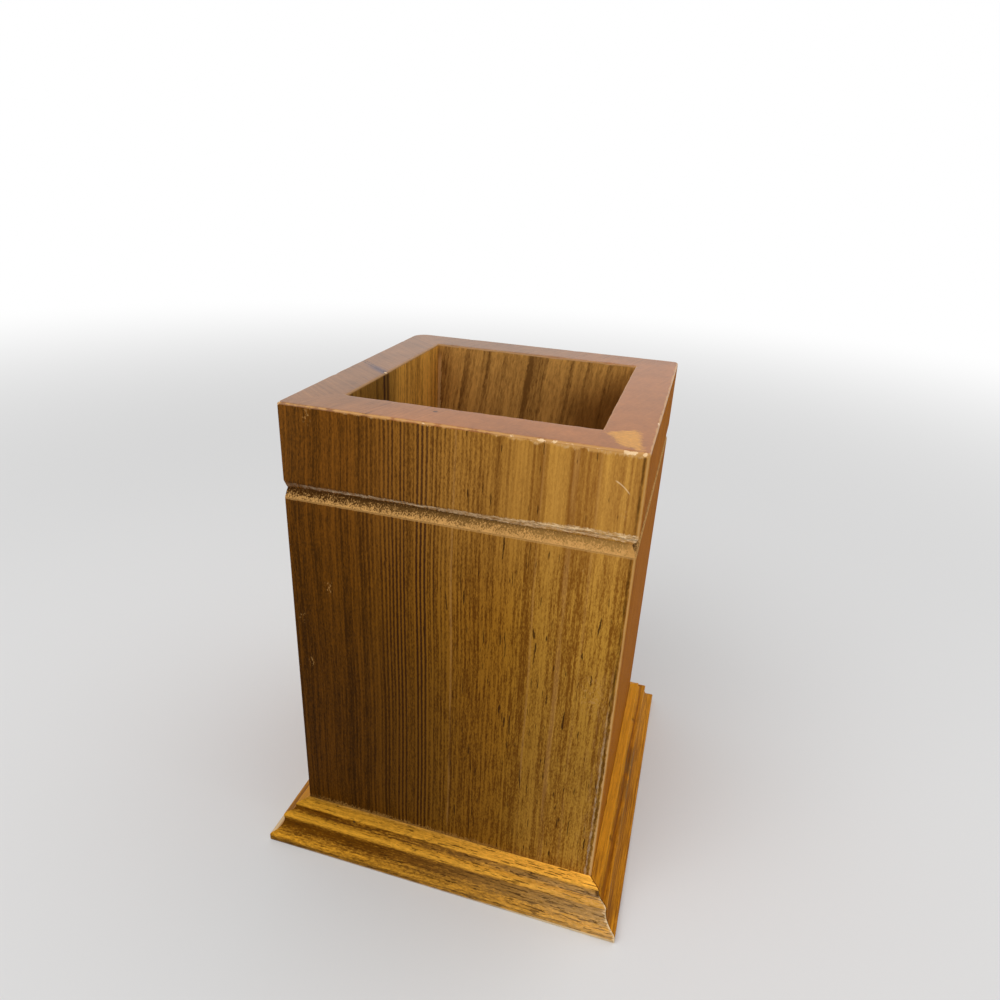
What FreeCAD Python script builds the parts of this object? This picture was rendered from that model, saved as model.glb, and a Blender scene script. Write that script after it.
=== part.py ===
import FreeCAD, Part

# Square wooden pen stand.
#
# Four upright boards are mitred together into an open post.  A floor sits in a
# groove round the inside, and a stepped moulding is mitred round the foot and
# pinned to the boards.  A V-groove is cut round the post a little below the rim.
#
# Millimetres.  The origin is the centre of the resting face, +X runs to the
# right along the front board, +Y to the back board and +Z up.

import math
import os

from FreeCAD import Vector

# Post
POST_SIDE = 80.0
POST_HEIGHT = 125.5
WALL = 11.0
RIM_OUTER_EASE = 0.5
RIM_INNER_EASE = 0.4
FOOT_EASE = 0.3

# Radius of each upright outer corner, by the two signs of its X and Y
CORNER_RADII = {(-1, -1): 0.5, (1, -1): 0.6, (1, 1): 1.5, (-1, 1): 4.0}

# V-groove round the post, with its root a little nearer the upper lip
GROOVE_TOP = 107.2
GROOVE_ROOT = 105.3
GROOVE_BOTTOM = 102.9
GROOVE_DEPTH = 1.3

# Floor, held in a groove in the boards with a gap for the wood to move
FLOOR_UNDERSIDE = 5.0
FLOOR_THICKNESS = 6.0
FLOOR_GROOVE_DEPTH = 4.0
FLOOR_EDGE_GAP = 0.5

# Base moulding: how far out and how high each member of its section stands
MOULDING_PROJECTION = 8.2
MOULDING_HEIGHT = 10.8
MOULDING_ARRIS = 0.25
FOOT_NOSE_RADIUS = 0.8
FOOT_HEIGHT = 2.6
SHOULDER_OUT = 5.2
SHOULDER_FOOT = 6.6
SHOULDER_TOP = 8.05
SHOULDER_RADIUS = 0.75
COVE_SAG = 0.8
STEP_OUT = 2.75
STEP_FOOT = 9.3
STEP_TOP = 10.25
STEP_RADIUS = 0.55
TREAD_INNER = 3.7
STEP_COVE_SAG = 0.25

# Panel pins, two through each moulding into the board behind it
PIN_OFFSET = 25.0
PIN_HEIGHT = 8.75
PIN_RADIUS = 0.5
PIN_HEAD_RADIUS = 0.8
PIN_HEAD_THICKNESS = 0.5
PIN_LENGTH = 10.0
PIN_SETTING = 0.35
PIN_SURFACE_OUT = 2.95

HALF_POST = POST_SIDE / 2
HALF_BASE = HALF_POST + MOULDING_PROJECTION
FLOOR_TOP = FLOOR_UNDERSIDE + FLOOR_THICKNESS
UP = Vector(0, 0, 1)

# Quarter turns, anticlockwise from above, that carry a front piece to each side
SIDES = {"front": 0, "right": 90, "back": 180, "left": 270}


def section_point(inset, height):
    """A point of a front piece's section, by its depth behind the post's front face."""
    return Vector(-HALF_BASE, inset - HALF_POST, height)


def straight(start, end):
    """A straight edge of a section between two (inset, height) pairs."""
    return Part.makeLine(section_point(*start), section_point(*end))


def arc(start, end, sag):
    """A circular edge of a section that stands sag to the left of its chord, seen along it."""
    run = end[0] - start[0]
    rise = end[1] - start[1]
    chord = math.hypot(run, rise)
    middle_inset = (start[0] + end[0]) / 2 - sag * rise / chord
    middle_height = (start[1] + end[1]) / 2 + sag * run / chord
    curve = Part.Arc(section_point(*start), section_point(middle_inset, middle_height), section_point(*end))
    return curve.toShape()


def quarter(start, end):
    """A quarter circle from start to end that bulges to the left of its chord."""
    radius = math.dist(start, end) / math.sqrt(2)
    return arc(start, end, radius * (1 - math.sqrt(0.5)))


def front_wedge():
    """The quarter of the plan in front of both 45 degree mitre planes."""
    reach = 2 * HALF_BASE
    corners = [Vector(0, 0, 0), Vector(-reach, -reach, 0), Vector(reach, -reach, 0), Vector(0, 0, 0)]
    return Part.Face(Part.makePolygon(corners)).extrude(UP * POST_HEIGHT)


def mitred_piece(edges):
    """Carry a closed section along the whole front and cut both ends to the mitre."""
    section = Part.Face(Part.Wire(edges))
    strip = section.extrude(Vector(2 * HALF_BASE, 0, 0))
    return strip.common(front_wedge())


def board_section():
    """Outer face with the V-groove, rim, inner face with the floor groove, and foot."""
    foot_outer = (FOOT_EASE, 0)
    face_foot = (0, FOOT_EASE)
    groove_low = (0, GROOVE_BOTTOM)
    groove_root = (GROOVE_DEPTH, GROOVE_ROOT)
    groove_high = (0, GROOVE_TOP)
    face_top = (0, POST_HEIGHT - RIM_OUTER_EASE)
    rim_outer = (RIM_OUTER_EASE, POST_HEIGHT)
    rim_inner = (WALL - RIM_INNER_EASE, POST_HEIGHT)
    inside_top = (WALL, POST_HEIGHT - RIM_INNER_EASE)
    floor_lip = (WALL, FLOOR_TOP)
    floor_back_high = (WALL - FLOOR_GROOVE_DEPTH, FLOOR_TOP)
    floor_back_low = (WALL - FLOOR_GROOVE_DEPTH, FLOOR_UNDERSIDE)
    floor_sill = (WALL, FLOOR_UNDERSIDE)
    foot_inner = (WALL, 0)
    return [
        quarter(foot_outer, face_foot),
        straight(face_foot, groove_low),
        straight(groove_low, groove_root),
        straight(groove_root, groove_high),
        straight(groove_high, face_top),
        quarter(face_top, rim_outer),
        straight(rim_outer, rim_inner),
        quarter(rim_inner, inside_top),
        straight(inside_top, floor_lip),
        straight(floor_lip, floor_back_high),
        straight(floor_back_high, floor_back_low),
        straight(floor_back_low, floor_sill),
        straight(floor_sill, foot_inner),
        straight(foot_inner, foot_outer),
    ]


def moulding_section():
    """A rounded foot, a cove up to a shoulder, then a small cove up to the top step."""
    back_foot = (0, 0)
    foot = (-MOULDING_PROJECTION + MOULDING_ARRIS, 0)
    foot_face = (-MOULDING_PROJECTION, MOULDING_ARRIS)
    foot_nose = (-MOULDING_PROJECTION, FOOT_HEIGHT - FOOT_NOSE_RADIUS)
    cove_low = (-MOULDING_PROJECTION + FOOT_NOSE_RADIUS, FOOT_HEIGHT)
    cove_high = (-SHOULDER_OUT, SHOULDER_FOOT)
    shoulder = (-SHOULDER_OUT, SHOULDER_TOP - SHOULDER_RADIUS)
    tread_outer = (-SHOULDER_OUT + SHOULDER_RADIUS, SHOULDER_TOP)
    tread_inner = (-TREAD_INNER, SHOULDER_TOP)
    step_foot = (-STEP_OUT, STEP_FOOT)
    step_nose = (-STEP_OUT, STEP_TOP - STEP_RADIUS)
    step_top = (-STEP_OUT + STEP_RADIUS, STEP_TOP)
    back_top = (0, MOULDING_HEIGHT)
    return [
        straight(back_foot, foot),
        quarter(foot, foot_face),
        straight(foot_face, foot_nose),
        quarter(foot_nose, cove_low),
        arc(cove_low, cove_high, -COVE_SAG),
        straight(cove_high, shoulder),
        quarter(shoulder, tread_outer),
        straight(tread_outer, tread_inner),
        arc(tread_inner, step_foot, -STEP_COVE_SAG),
        straight(step_foot, step_nose),
        quarter(step_nose, step_top),
        straight(step_top, back_top),
        straight(back_top, back_foot),
    ]


def post_envelope():
    """The post's outer block with its four upright corners rounded."""
    block = Part.makeBox(POST_SIDE, POST_SIDE, POST_HEIGHT, Vector(-HALF_POST, -HALF_POST, 0))
    for (side_x, side_y), radius in CORNER_RADII.items():
        corner = [
            edge for edge in block.Edges
            if edge.Length > POST_HEIGHT - 1
            and edge.CenterOfMass.x * side_x > HALF_POST - 1
            and edge.CenterOfMass.y * side_y > HALF_POST - 1
        ]
        block = block.makeFillet(radius, corner)
    return block


def front_pins():
    """The two pins of the front moulding: a shank driven inwards with a small head."""
    head_out = PIN_SURFACE_OUT - PIN_SETTING
    pins = []
    for offset in (-PIN_OFFSET, PIN_OFFSET):
        start = Vector(offset, -HALF_POST - head_out, PIN_HEIGHT)
        shank = Part.makeCylinder(PIN_RADIUS, PIN_LENGTH, start, Vector(0, 1, 0))
        head = Part.makeCylinder(PIN_HEAD_RADIUS, PIN_HEAD_THICKNESS, start, Vector(0, 1, 0))
        pins.append(shank.fuse(head).removeSplitter())
    return pins


def pin_sinkings():
    """The open sinkings left in the front moulding outside the two pin heads."""
    head_out = PIN_SURFACE_OUT - PIN_SETTING
    sinkings = []
    for offset in (-PIN_OFFSET, PIN_OFFSET):
        start = Vector(offset, -HALF_POST - head_out, PIN_HEIGHT)
        sinkings.append(Part.makeCylinder(PIN_HEAD_RADIUS, HALF_BASE, start, Vector(0, -1, 0)))
    return sinkings


def turned(shape, angle):
    """A copy of a front piece carried round the post's axis to another side."""
    copy = shape.copy()
    copy.rotate(Vector(0, 0, 0), UP, angle)
    return copy


def floor_board():
    """The floor, let into the boards' groove on all four sides."""
    side = POST_SIDE - 2 * (WALL - FLOOR_GROOVE_DEPTH + FLOOR_EDGE_GAP)
    return Part.makeBox(side, side, FLOOR_THICKNESS, Vector(-side / 2, -side / 2, FLOOR_UNDERSIDE))


def write_step(name, shape):
    """Write one node's STEP file."""
    shape.exportStep(os.path.join("parts", name + ".step"))


def main():
    os.makedirs("parts", exist_ok=True)
    pins = front_pins()
    front_board = mitred_piece(board_section()).cut(pins)
    front_moulding = mitred_piece(moulding_section()).cut(pins).cut(pin_sinkings())
    envelope = post_envelope()
    all_pins = []
    for side, angle in SIDES.items():
        write_step(side + "_board", turned(front_board, angle).common(envelope))
        write_step(side + "_moulding", turned(front_moulding, angle))
        all_pins.extend(turned(pin, angle) for pin in pins)
    write_step("moulding_pins", Part.makeCompound(all_pins))
    write_step("floor_board", floor_board())


main()
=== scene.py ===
"""A square wooden pen stand: mitred boards, a V-groove, a stepped foot moulding and their finish."""

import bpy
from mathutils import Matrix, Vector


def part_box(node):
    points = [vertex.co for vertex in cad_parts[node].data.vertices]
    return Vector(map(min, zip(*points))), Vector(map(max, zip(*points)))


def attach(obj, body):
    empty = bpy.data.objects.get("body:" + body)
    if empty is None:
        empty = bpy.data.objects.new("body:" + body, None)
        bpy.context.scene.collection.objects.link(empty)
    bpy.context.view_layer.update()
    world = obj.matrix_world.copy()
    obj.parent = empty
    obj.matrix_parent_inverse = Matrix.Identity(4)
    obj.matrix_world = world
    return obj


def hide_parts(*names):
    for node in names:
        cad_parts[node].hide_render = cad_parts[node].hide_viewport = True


bl_info = {
    "name": "Wooden Pen Stand",
    "version": (1, 0, 0),
    "blender": (4, 5, 0),
    "location": "View3D > Sidebar > Pen Stand",
    "description": "Builds the boards and the foot moulding of a square wooden pen stand",
    "category": "Add Mesh",
}

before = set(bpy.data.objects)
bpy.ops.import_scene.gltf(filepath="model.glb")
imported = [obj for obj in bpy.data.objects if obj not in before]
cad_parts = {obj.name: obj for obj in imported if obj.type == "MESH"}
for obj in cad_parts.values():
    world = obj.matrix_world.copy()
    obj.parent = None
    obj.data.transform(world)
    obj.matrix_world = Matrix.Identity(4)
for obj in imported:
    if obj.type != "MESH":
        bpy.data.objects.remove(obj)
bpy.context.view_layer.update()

import math

import bpy
import numpy as np
from bpy.props import FloatProperty, FloatVectorProperty, PointerProperty
from mathutils import Matrix

MM = 0.001
SIDES = ("front", "right", "back", "left")
POST_LOW, POST_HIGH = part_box("front_board")
BASE_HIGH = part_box("front_moulding")[1]
HALF_POST = -POST_LOW.y
POST_HEIGHT = POST_HIGH.z
WALL = POST_HIGH.y - POST_LOW.y
HALF_BASE = BASE_HIGH.x

# Heights of the groove's lips and deepest line, in millimetres
GROOVE_TOP, GROOVE_ROOT, GROOVE_BOTTOM = 107.2, 105.3, 102.9
# Radius of each upright corner, by the board whose left-hand end it rounds, seen from outside
CORNER_RADII = {"front": 0.5 * MM, "right": 0.6 * MM, "back": 1.5 * MM, "left": 4.0 * MM}
# Share of the groove's depth at each board's left end, its middle stretch and its right end, and
# the places between which the share changes, with -1 and 1 at the ends
GROOVE_SHARES = {"front": (0.55, 1.12, 1.0), "right": (1, 1, 1), "back": (1, 1, 1), "left": (1, 1, 0.55)}
GROOVE_PLACES = (-1, -0.35, 0.35, 1)


def srgb(red, green, blue):
    """A scene-linear colour from its 0 to 255 screen values."""
    share = np.array([red, green, blue]) / 255
    return tuple(np.where(share <= 0.04045, share / 12.92, ((share + 0.055) / 1.055) ** 2.4))


def length(name, description, default):
    """A length setting in metres, from a default in millimetres."""
    settings = {"default": default * MM, "min": 0.0, "unit": "LENGTH", "precision": 5}
    return FloatProperty(name=name, description=description, **settings)


def colour(name, description, red, green, blue):
    """A colour setting from its 0 to 255 screen values."""
    default = srgb(red, green, blue)
    return FloatVectorProperty(name=name, description=description, default=default, subtype="COLOR", size=3)


def share(name, description, default):
    """A setting from 0 to 1."""
    settings = {"default": default, "min": 0.0, "max": 1.0, "subtype": "FACTOR"}
    return FloatProperty(name=name, description=description, **settings)


def power(name, description, default):
    """A lamp's power in watts."""
    return FloatProperty(name=name, description=description, default=default, min=0.0, unit="POWER")


class BoardSettings(bpy.types.PropertyGroup):
    """Sizes of the post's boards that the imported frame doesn't give."""

    groove_top: length("Groove top", "Height of the groove's upper lip", GROOVE_TOP)
    groove_root: length("Groove root", "Height of the groove's deepest line", GROOVE_ROOT)
    groove_bottom: length("Groove bottom", "Height of the groove's lower lip", GROOVE_BOTTOM)
    groove_depth: length("Groove depth", "How far the groove goes into the board", 1.3)
    rim_outer_ease: length("Outer rim ease", "Radius of the rim's outer arris", 0.5)
    rim_inner_ease: length("Inner rim ease", "Radius of the rim's inner arris", 0.4)
    foot_ease: length("Foot ease", "Radius of the arris at the foot", 0.3)
    floor_underside: length("Floor underside", "Height of the floor groove's lower side", 5.0)
    floor_top: length("Floor top", "Height of the floor groove's upper side", 11.0)
    floor_groove_depth: length("Floor groove depth", "How far the floor is let in", 4.0)
    tear: length("Torn fibres", "How rough the saw left the groove", 0.1)


class MouldingSettings(bpy.types.PropertyGroup):
    """Sizes of the foot moulding's section."""

    arris: length("Foot arris", "Radius of the lowest arris", 0.25)
    foot_radius: length("Foot radius", "Radius of the foot's nose", 0.8)
    foot_height: length("Foot height", "Height of the foot's upper side", 2.6)
    shoulder_out: length("Shoulder out", "How far the shoulder stands out from the post", 5.2)
    shoulder_foot: length("Shoulder foot", "Height where the cove meets the shoulder", 6.6)
    shoulder_top: length("Shoulder top", "Height of the shoulder's upper side", 8.05)
    shoulder_radius: length("Shoulder radius", "Radius of the shoulder's nose", 0.75)
    cove_sag: length("Cove depth", "How far the cove stands behind its chord", 0.8)
    tread_inner: length("Tread inner", "How far out the small cove starts", 3.7)
    step_out: length("Step out", "How far the top step stands out from the post", 2.75)
    step_foot: length("Step foot", "Height where the small cove meets the step", 9.3)
    step_top: length("Step top", "Height of the step's nose", 10.25)
    step_radius: length("Step radius", "Radius of the step's nose", 0.55)
    step_cove_sag: length("Small cove depth", "How far the small cove stands behind its chord", 0.25)
    mitre_gap: length("Mitre gap", "How far the front right mitre has opened at its top", 0.4)


class FinishSettings(bpy.types.PropertyGroup):
    """Colours of the woods, the varnish and the wear, some of them also laid on as painted light and shade.
    """

    # Umber is also the painted shade near the groove's root on the left and in the torn notch of the front
    # moulding
    umber: colour("Umber", "Dark stripes at the left of the front board", 68, 38, 4)
    brown: colour("Brown", "Light stripes at the left of the front board", 120, 71, 15)
    tan: colour("Tan", "Dark stripes at the right of the front board", 141, 88, 26)
    honey: colour("Honey", "Light stripes at the right of the front board", 206, 151, 66)
    # Pore is also the line of painted shade along the groove's root
    pore: colour("Pore", "Open pores", 52, 26, 6)
    bare: colour("Bare wood", "Wood worn bare along the arrises", 205, 152, 84)
    chip: colour("Chip", "Fresh chips in the arrises", 246, 210, 160)
    fibre: colour("Torn fibre", "Greyed torn fibres at the groove's upper lip", 186, 164, 138)
    # Lip is also the painted sheen on the front board and part of the painted reflection on the left
    # moulding
    lip: colour("Lip", "Bare wood along the groove's lower lip", 194, 146, 84)
    side_dark: colour("Side dark", "Dark stripes of the side and back boards", 124, 66, 6)
    side_light: colour("Side light", "Light stripes of the side and back boards", 190, 117, 22)
    inner_dark: colour("Inside dark", "Dark stripes inside the well", 118, 79, 35)
    inner_light: colour("Inside light", "Light stripes inside the well", 206, 151, 76)
    rim: colour("Rim", "End grain of the rim under its varnish", 164, 101, 48)
    rim_brown: colour("Rim brown", "Older varnish at the back and left of the rim", 142, 98, 61)
    patch: colour("Patch", "Wood bared at the rim's front right corner", 213, 148, 44)
    stain: colour("Stain", "Dark blue stain in the crack", 58, 46, 74)
    # Gold, olive, straw, driftwood, amber and rust are laid on by the mouldings' relief, their light and
    # dark partly painted light on crests and painted shade in coves
    gold: colour("Gold", "Crests of the front moulding", 200, 141, 38)
    olive: colour("Olive", "Dirt and varnish in the front moulding's coves", 96, 55, 2)
    straw: colour("Straw", "Crests of the front moulding's rubbed end", 230, 165, 62)
    drift: colour("Driftwood", "Coves of the front moulding's rubbed end", 178, 134, 70)
    amber: colour("Amber", "Light bands of the other mouldings", 208, 138, 24)
    # Rust, dimmed, is also the painted shade deep in the back of the well
    rust: colour("Rust", "Dark bands of the other mouldings", 138, 80, 4)
    maroon: colour("Maroon", "Dark streaks below the crack", 50, 24, 18)
    # Glue is also the whitish painted reflection along the left moulding's foot
    glue: colour("Glue", "Dried glue in the open joints", 236, 216, 176)
    steel: colour("Steel", "Panel pins", 96, 88, 82)


class StageSettings(bpy.types.PropertyGroup):
    """The stage's tones and light."""

    floor: share("Floor", "Tone of the stage floor", 0.78)
    world: share("World", "Brightness of the light from all round", 0.55)
    key: power("Key lamp", "Power of the large lamp", 2.2)
    fill: power("Fill lamp", "Power of the front lamp", 4.0)


# ---------------------------------------------------------------- surfaces

# The bulge of a quarter circle
QUARTER = (1 - math.sqrt(0.5)) / math.sqrt(2)
# Cells each way in a noise lattice before it repeats
LATTICE = 128
# A cell so long, in metres, that the noise hardly changes along it
LONG_CELL = 1.0
# An edge sharper than this, in degrees, is shaded as an arris
ARRIS_ANGLE = 38


def run(start, end, step, bulge=0.0):
    """Evenly stepped points from the start up to, and not including, the end.

    A straight run is start + t (end - start) for t from 0 to 1.  A bulge is how far an arc stands
    to the left of its chord, as a share of it.  Then the chord is multiplied, in complex numbers,
    by (1 - e^(-iat)) / (1 - e^(-ia)), where the whole turn a is four times the arctangent of
    twice the bulge.
    """
    count = max(2 if bulge else 1, math.ceil(abs(end - start) / step))
    t = np.arange(count) / count
    if bulge:
        turn = 4 * math.atan(2 * bulge)
        t = (1 - np.exp(-1j * turn * t)) / (1 - np.exp(-1j * turn))
    return start + t * (end - start)


def trace(start, *legs):
    """A closed outline and the zone of the surface after each of its points.

    Each leg goes on from the last one and has its end, its step in millimetres, its zone and,
    for an arc, its bulge.
    """
    points = []
    zones = []
    for end, step, zone, *bulge in legs:
        points.append(run(start, end, step * MM, *bulge))
        zones.append(np.full(len(points[-1]), zone))
        start = end
    return np.concatenate(points), np.concatenate(zones)


def value_noise(across, along, cell_across, cell_along, seed):
    """Random heights from -1 to 1 on a lattice, blended over each cell by 3t^2 - 2t^3."""
    lattice = np.random.default_rng(seed).uniform(-1, 1, (LATTICE, LATTICE))
    a = across / cell_across
    b = along / cell_along
    i = np.floor(a).astype(int)
    j = np.floor(b).astype(int)
    s = (a - i) ** 2 * (3 - 2 * (a - i))
    t = (b - j) ** 2 * (3 - 2 * (b - j))
    low, high = (
        lattice[i % LATTICE, row % LATTICE] * (1 - s) + lattice[(i + 1) % LATTICE, row % LATTICE] * s
        for row in (j, j + 1)
    )
    return low * (1 - t) + high * t


def smooth_step(low, high, value):
    """0 below low, 1 above high, and 3t^2 - 2t^3 of the way t between them."""
    t = np.clip((value - low) / (high - low), 0, 1)
    return t * t * (3 - 2 * t)


def bell(distance, width):
    """The bell curve e^-(distance / width)^2."""
    return np.exp(-((distance / width) ** 2))


def columns(count, crowding):
    """Steps from -1 to 1, crowded towards both ends: t plus crowding times sin(pi t) / pi."""
    t = np.linspace(-1, 1, count)
    return t + crowding * np.sin(math.pi * t) / math.pi


def link(name, data):
    """A new object in the scene."""
    made = bpy.data.objects.new(name, data)
    bpy.context.scene.collection.objects.link(made)
    return made


def add_strip(name, side, x, inset, height, zones, attributes, materials):
    """Puts a closed strip into a mesh and turns it to its side of the post.

    Rows follow the outline and columns follow the side.  The strip's point is (x, inset minus
    half the post, height), turned by a quarter turn for each side after the front.  Each end
    is closed by one face.
    """
    rows, width = x.shape
    angle = SIDES.index(side) * math.pi / 2
    flat = (x + 1j * (inset - HALF_POST)) * np.exp(1j * angle)
    places = np.stack([flat.real, flat.imag, height], -1)
    index = np.arange(rows * width).reshape(rows, width)
    above = np.roll(index, -1, axis=0)
    quads = np.stack([index[:, :-1], index[:, 1:], above[:, 1:], above[:, :-1]], -1).reshape(-1, 4)
    ends = [index[:, 0].tolist(), index[::-1, -1].tolist()]
    mesh = bpy.data.meshes.new(name)
    mesh.from_pydata(places.reshape(-1, 3).tolist(), [], quads.tolist() + ends)
    face_zones = np.concatenate([np.repeat(zones, width - 1), [0, 0]]).astype(np.int32)
    for material in materials:
        mesh.materials.append(material)
    mesh.polygons.foreach_set("material_index", face_zones)
    mesh.polygons.foreach_set("use_smooth", np.ones(len(face_zones), bool))
    mesh.set_sharp_from_angle(angle=math.radians(ARRIS_ANGLE))
    for key, values in attributes.items():
        layer = mesh.attributes.new(key, "FLOAT", "POINT")
        layer.data.foreach_set("value", values.reshape(-1).astype(np.float32))
    mesh.update()
    return link(name, mesh)


# ---------------------------------------------------------------- boards

# The materials of a board, by zone of its surface
FACE, RIM, INSIDE = 0, 1, 2
# Columns of points along a board and a moulding, and how much they crowd towards the mitres
BOARD_COLUMNS, BOARD_CROWDING = 261, 0.35
MOULDING_COLUMNS, MOULDING_CROWDING = 281, 0.2

# Chips in the rim's outer arris: place along the side, width and size in millimetres
OUTER_CHIPS = {
    "front": (
        (35.8, 1.8, 0.34), (37.0, 0.8, 0.2), (38.9, 0.7, 0.35), (18.5, 1.8, 0.2), (21.3, 1.4, 0.17),
        (-6.0, 1.0, 0.14), (-39.7, 0.6, 0.3), (12.6, 1.2, 0.1), (24.5, 1.8, 0.1), (30.0, 1.6, 0.1),
    ),
    "right": ((-20.0, 1.6, 0.15), (8.0, 1.0, 0.12)),
    "back": ((-10.0, 1.8, 0.15), (22.0, 1.2, 0.12)),
    "left": ((39.4, 0.7, 0.2), (14.0, 1.4, 0.14), (-28.0, 1.2, 0.12)),
}
# Chips in the rim's inner arris
INNER_CHIPS = {"front": (), "right": (), "back": (), "left": ((7.2, 0.8, 0.3),)}
# Share of its size that a chip cuts both sideways and down, at 45 degrees
CHIP_SLOPE = 0.7


def board_outline(sizes):
    """The board's section: up its outer face, over the rim, down inside and back along the foot."""
    top = POST_HEIGHT
    floor_back = WALL - sizes.floor_groove_depth
    margin = 0.6 * MM
    foot_outer = complex(sizes.foot_ease, 0)
    face_foot = complex(0, sizes.foot_ease)
    groove_low = complex(0, sizes.groove_bottom)
    groove_root = complex(sizes.groove_depth, sizes.groove_root)
    groove_high = complex(0, sizes.groove_top)
    face_top = complex(0, top - sizes.rim_outer_ease)
    rim_outer = complex(sizes.rim_outer_ease, top)
    rim_inner = complex(WALL - sizes.rim_inner_ease, top)
    return trace(
        foot_outer,
        (face_foot, 0.2, FACE, QUARTER),
        (groove_low - 1j * margin, 1.6, FACE),
        (groove_low, 0.2, FACE),
        (groove_root, 0.18, FACE),
        (groove_high, 0.18, FACE),
        (groove_high + 1j * margin, 0.2, FACE),
        (face_top - 1j * MM, 1.2, FACE),
        (face_top, 0.2, FACE),
        (rim_outer, 0.1, RIM, QUARTER),
        (rim_outer + 2 * margin, 0.2, RIM),
        (rim_inner - margin, 0.8, RIM),
        (rim_inner, 0.2, RIM),
        (complex(WALL, top - sizes.rim_inner_ease), 0.1, RIM, QUARTER),
        (complex(WALL, sizes.floor_top), 2.5, INSIDE),
        (complex(floor_back, sizes.floor_top), 2, INSIDE),
        (complex(floor_back, sizes.floor_underside), 2, INSIDE),
        (complex(WALL, sizes.floor_underside), 2, INSIDE),
        (complex(WALL, 0), 2.5, INSIDE),
        (foot_outer, 2.5, FACE),
    )


def rounded_corner(x, inset, radius, end):
    """How far the circle of an upright corner stands behind the face.

    At each depth the circle keeps its centre, so its radius r is the corner's less the depth.
    It falls away by r minus the root of r^2 less the squared run into the corner.
    """
    reduced = np.maximum(radius - inset, 0)
    into = np.clip(end * x - (HALF_POST - inset - reduced), 0, reduced)
    return reduced - np.sqrt(np.maximum(reduced**2 - into**2, 0))


def chipped(chips, x, arris):
    """The sum of bell-shaped chips along an arris that itself fades with distance as a bell."""
    sizes = sum((size * MM * bell(x - place * MM, width * MM / 2) for place, width, size in chips), 0 * x)
    return sizes * arris


def build_board(sizes, side, materials):
    """One board: its outline carried between the two mitres, with wear and torn fibres added.

    A point keeps its place along the side.  Its depth is the outline's, times the groove's
    share where it is in the groove, plus the corner circles, a slow warp of the face, the
    chips in its arrises and the torn fibres of the groove.
    """
    seed = 10 * SIDES.index(side)
    outline, zones = board_outline(sizes)
    height = outline.imag[:, None]
    across = columns(BOARD_COLUMNS, BOARD_CROWDING)[None, :]
    left_share, middle_share, right_share = GROOVE_SHARES[side]
    shares = np.interp(across, GROOVE_PLACES, (left_share, middle_share, middle_share, right_share))
    between_lips = (outline.imag > sizes.groove_bottom) * (outline.imag < sizes.groove_top)
    between_lips = (between_lips * (outline.real < 2 * MM))[:, None]
    depth = outline.real[:, None] * np.where(between_lips, shares, 1)
    left_radius = CORNER_RADII[side]
    right_radius = CORNER_RADII[SIDES[(SIDES.index(side) + 1) % 4]]
    bevel = 1 - math.sqrt(0.5)
    left_reach = HALF_POST - depth - bevel * np.maximum(left_radius - depth, 0)
    right_reach = HALF_POST - depth - bevel * np.maximum(right_radius - depth, 0)
    x = across * np.where(across < 0, left_reach, right_reach)
    inset = depth + rounded_corner(x, depth, left_radius, -1) + rounded_corner(x, depth, right_radius, 1)
    z = np.broadcast_to(height, x.shape).copy()

    free = smooth_step(0, 0.8 * MM, HALF_POST - depth - np.abs(x))
    outer_arris = bell(np.hypot(depth, height - POST_HEIGHT), 0.55 * MM)
    inner_arris = bell(np.hypot(depth - WALL, height - POST_HEIGHT), 0.7 * MM)
    outer_chips = chipped(OUTER_CHIPS[side], x, outer_arris)
    inner_chips = chipped(INNER_CHIPS[side], x, inner_arris)
    rub = 0.03 * MM * outer_arris * (1 + value_noise(x, z, 3.5 * MM, LONG_CELL, seed + 1)) * free
    wavy = 0.16 * MM if side == "back" else 0.05 * MM
    inner_rub = wavy * inner_arris * (1 + value_noise(x, z, 2.4 * MM, LONG_CELL, seed + 6)) * free
    inset += CHIP_SLOPE * (outer_chips + rub - inner_chips - inner_rub)
    z -= CHIP_SLOPE * (outer_chips + rub + inner_chips + inner_rub)

    in_groove = between_lips * smooth_step(0, 0.5 * MM, depth) * free
    strands = value_noise(x, z, 0.3 * MM, 0.9 * MM, seed + 2)
    strands += 0.7 * value_noise(x, z, 0.7 * MM, 0.5 * MM, seed + 3)
    inset += in_groove * sizes.tear * strands
    z += in_groove * sizes.tear * value_noise(x, z, 0.9 * MM, 1.5 * MM, seed + 4)
    outer = depth < 0.01 * MM
    inset += free * outer * 0.04 * MM * (1 + value_noise(x, z, 14 * MM, 30 * MM, seed + 5))

    end = np.minimum(HALF_POST + x, HALF_POST - x)
    wide = 0.42 * MM + 0.4 * MM * smooth_step(2 * MM, 26 * MM, x) if side == "front" else 0.5 * MM
    ragged = 1 + 0.45 * value_noise(x, z, 1.6 * MM, LONG_CELL, seed + 6)
    rim_wear = bell(np.hypot(inset, z - POST_HEIGHT), wide * ragged)
    end_wear = bell(np.hypot(inset, end), 0.6 * MM) * (z > 1 * MM)
    ragged_chips = 1 + 0.7 * value_noise(x, z, 0.9 * MM, 0.3 * MM, seed + 7)
    chips = np.clip((outer_chips + inner_chips) / (0.22 * MM) * ragged_chips, 0, 1)
    attributes = {
        "rim_wear": rim_wear * (depth < 3 * MM),
        "end_wear": end_wear,
        "chip": chips,
        "groove": between_lips * np.ones_like(x),
    }
    return add_strip(side + "_board_wood", side, x, inset, z, zones, attributes, materials)


# ---------------------------------------------------------------- moulding


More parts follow.
